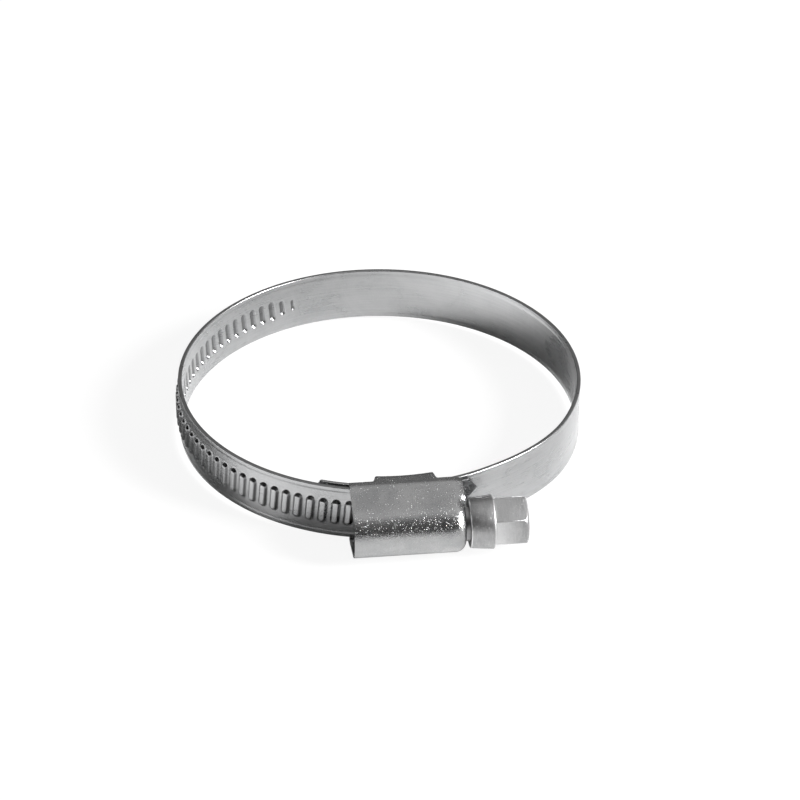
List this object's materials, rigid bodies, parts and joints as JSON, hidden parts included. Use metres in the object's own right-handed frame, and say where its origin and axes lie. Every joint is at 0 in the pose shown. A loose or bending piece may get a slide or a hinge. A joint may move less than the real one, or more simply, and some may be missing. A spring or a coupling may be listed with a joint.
{
  "type": "worm drive hose clamp",
  "caption": "Band clamp that grips a hose on its fitting: a worm screw in a small housing pulls a toothed steel strap tight.",
  "frame": {"origin": "middle of the whole clamp's box, at its lowest face; the hose's own axis is the line x = 0.26 mm, y = 3.84 mm", "axes": "+Z along the hose, +X along the screw towards its head, -Y from the hose towards the housing"},
  "size_m": [0.0644, 0.0716, 0.0106],
  "materials": {
    "band_steel": "rolled zinc-plated steel strip, satin",
    "housing_steel": "pressed zinc-plated sheet, fine speckled grain",
    "screw_steel": "turned and zinc-plated, bright"
  },
  "bodies": {
    "housing": {"housing_shell": "housing_steel", "saddle": "housing_steel", "band_fixed_end": "band_steel"},
    "screw": {"worm_screw": "screw_steel"},
    "strap": {"toothed_strap": "band_steel"},
    "link_01": {"band_link_01": "band_steel"},
    "link_02": {"band_link_02": "band_steel"},
    "link_03": {"band_link_03": "band_steel"},
    "link_04": {"band_link_04": "band_steel"},
    "link_05": {"band_link_05": "band_steel"},
    "link_06": {"band_link_06": "band_steel"},
    "link_07": {"band_link_07": "band_steel"},
    "link_08": {"band_link_08": "band_steel"},
    "link_09": {"band_link_09": "band_steel"},
    "link_10": {"band_link_10": "band_steel"}
  },
  "joints": [
    {"name": "screw_turn", "type": "hinge", "parent": "housing", "child": "screw", "pos_m": [0.00026, -0.03156, 0.0053], "axis": [-1, 0, 0], "range_deg": [0, 4320]},
    {"name": "strap_feed", "type": "hinge", "parent": "housing", "child": "strap", "pos_m": [0.00026, 0.00384, 0.0053], "axis": [0, 0, 1], "range_deg": [0, 43.22]},
    {"name": "bend_01", "type": "hinge", "parent": "strap", "child": "link_01", "pos_m": [-0.02953, -0.00688, 0.0053], "axis": [0, 0, 1], "range_deg": [-8.08, 0]},
    {"name": "bend_02", "type": "hinge", "parent": "link_01", "child": "link_02", "pos_m": [-0.03101, 0.00879, 0.0053], "axis": [0, 0, 1], "range_deg": [-4.68, 0]},
    {"name": "bend_03", "type": "hinge", "parent": "link_02", "child": "link_03", "pos_m": [-0.02476, 0.02324, 0.0053], "axis": [0, 0, 1], "range_deg": [-2.61, 0]},
    {"name": "bend_04", "type": "hinge", "parent": "link_03", "child": "link_04", "pos_m": [-0.01232, 0.0329, 0.0053], "axis": [0, 0, 1], "range_deg": [-2.65, 0]},
    {"name": "bend_05", "type": "hinge", "parent": "link_04", "child": "link_05", "pos_m": [0.00324, 0.03536, 0.0053], "axis": [0, 0, 1], "range_deg": [-3.79, 0]},
    {"name": "bend_06", "type": "hinge", "parent": "link_05", "child": "link_06", "pos_m": [0.01805, 0.03003, 0.0053], "axis": [0, 0, 1], "range_deg": [-4.59, 0]},
    {"name": "bend_07", "type": "hinge", "parent": "link_06", "child": "link_07", "pos_m": [0.02847, 0.01821, 0.0053], "axis": [0, 0, 1], "range_deg": [-4.43, 0]},
    {"name": "bend_08", "type": "hinge", "parent": "link_07", "child": "link_08", "pos_m": [0.0319, 0.00285, 0.0053], "axis": [0, 0, 1], "range_deg": [-3.87, 0]},
    {"name": "bend_09", "type": "hinge", "parent": "link_08", "child": "link_09", "pos_m": [0.02751, -0.01227, 0.0053], "axis": [0, 0, 1], "range_deg": [-3.88, 0]},
    {"name": "bend_10", "type": "hinge", "parent": "link_09", "child": "link_10", "pos_m": [0.01592, -0.02264, 0.0053], "axis": [0, 0, 1], "range_deg": [-4.64, 0]}
  ],
  "couplings": [
    {"joint": "strap_feed", "follows": "screw_turn", "ratio": 0.01},
    {"joint": "bend_01", "follows": "screw_turn", "ratio": -0.00187},
    {"joint": "bend_02", "follows": "screw_turn", "ratio": -0.001083},
    {"joint": "bend_03", "follows": "screw_turn", "ratio": -0.000605},
    {"joint": "bend_04", "follows": "screw_turn", "ratio": -0.000612},
    {"joint": "bend_05", "follows": "screw_turn", "ratio": -0.000877},
    {"joint": "bend_06", "follows": "screw_turn", "ratio": -0.001062},
    {"joint": "bend_07", "follows": "screw_turn", "ratio": -0.001024},
    {"joint": "bend_08", "follows": "screw_turn", "ratio": -0.000896},
    {"joint": "bend_09", "follows": "screw_turn", "ratio": -0.000898},
    {"joint": "bend_10", "follows": "screw_turn", "ratio": -0.001073}
  ]
}
